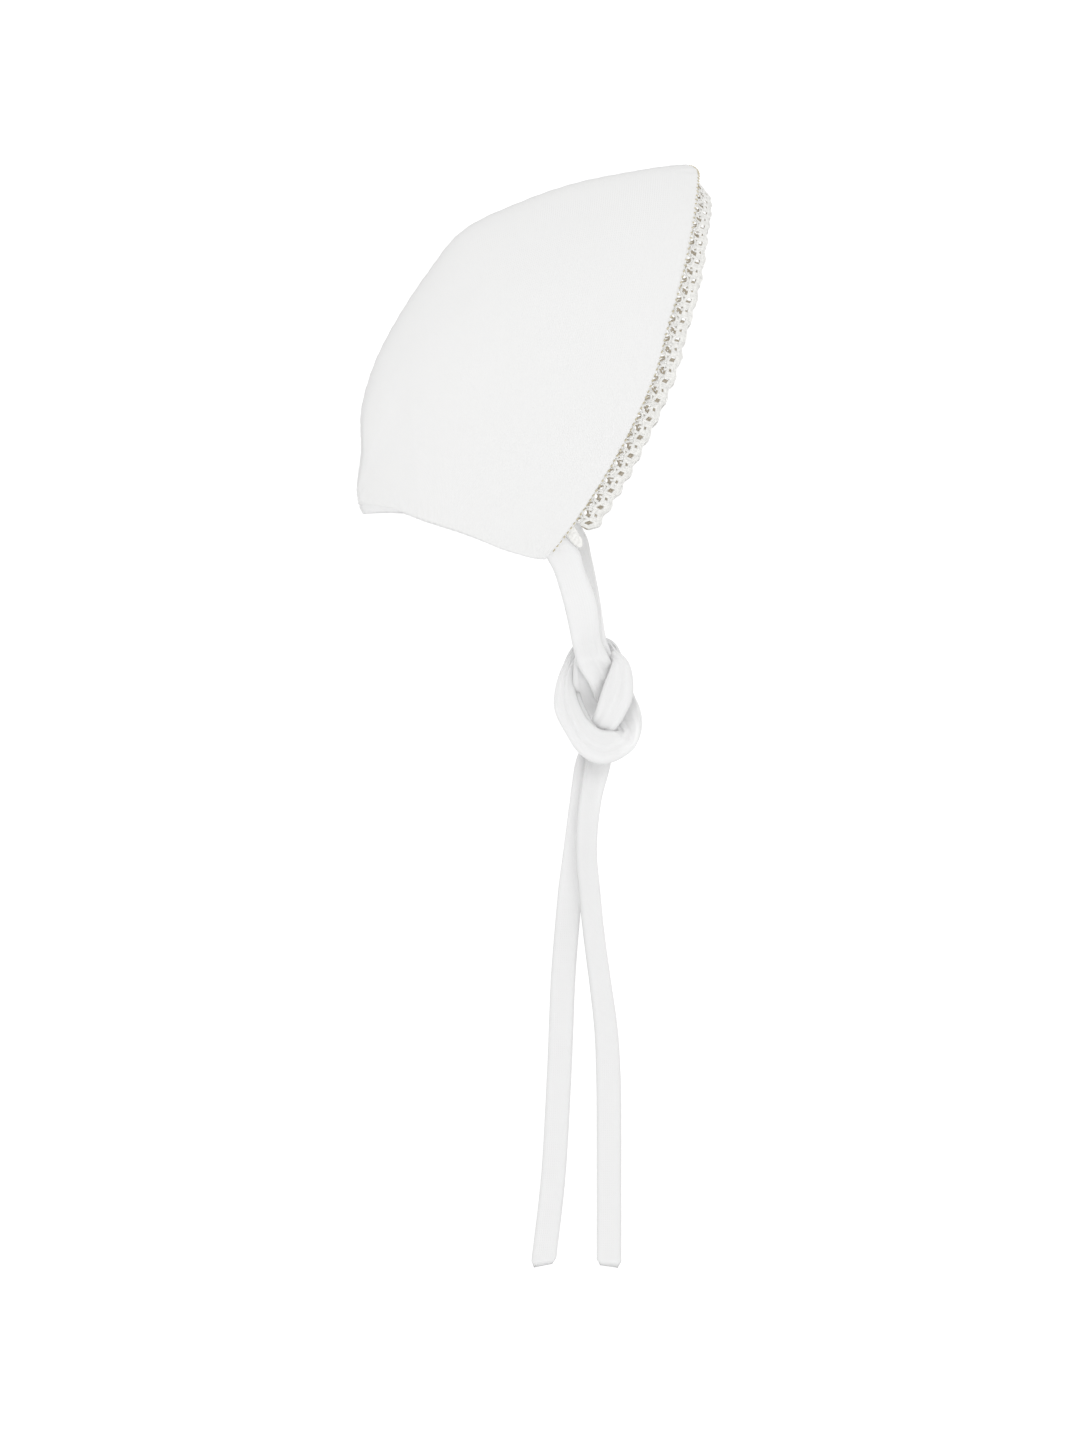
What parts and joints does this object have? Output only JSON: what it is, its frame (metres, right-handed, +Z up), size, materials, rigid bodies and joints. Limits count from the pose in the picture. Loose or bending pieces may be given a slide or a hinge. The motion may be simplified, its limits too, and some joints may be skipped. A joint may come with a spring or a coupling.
{
  "type": "baby nightcap",
  "caption": "Soft bonnet-shaped nightcap for a baby, with a narrow lace edging round the face and flat self-fabric ties knotted together under the chin.",
  "frame": {"origin": "inside of the crown on the centre line, where the cap sits on a head", "axes": "+X forward out of the face opening, +Y towards the wearer's left, +Z up along the hanging ties"},
  "size_m": [0.1422, 0.1084, 0.4404],
  "materials": {
    "cap_jersey": "matt white cotton interlock jersey",
    "hem_jersey": "matt white cotton jersey, folded and stitched",
    "lace_cotton": "matt off-white crocheted cotton thread",
    "tie_jersey": "matt white cotton jersey, folded to a flat strap"
  },
  "bodies": {
    "root": {"side_panel_right": "cap_jersey", "side_panel_left": "cap_jersey", "neck_hem": "hem_jersey", "lace_edging": "lace_cotton", "tie_right": "tie_jersey", "tie_left": "tie_jersey"}
  },
  "joints": []
}
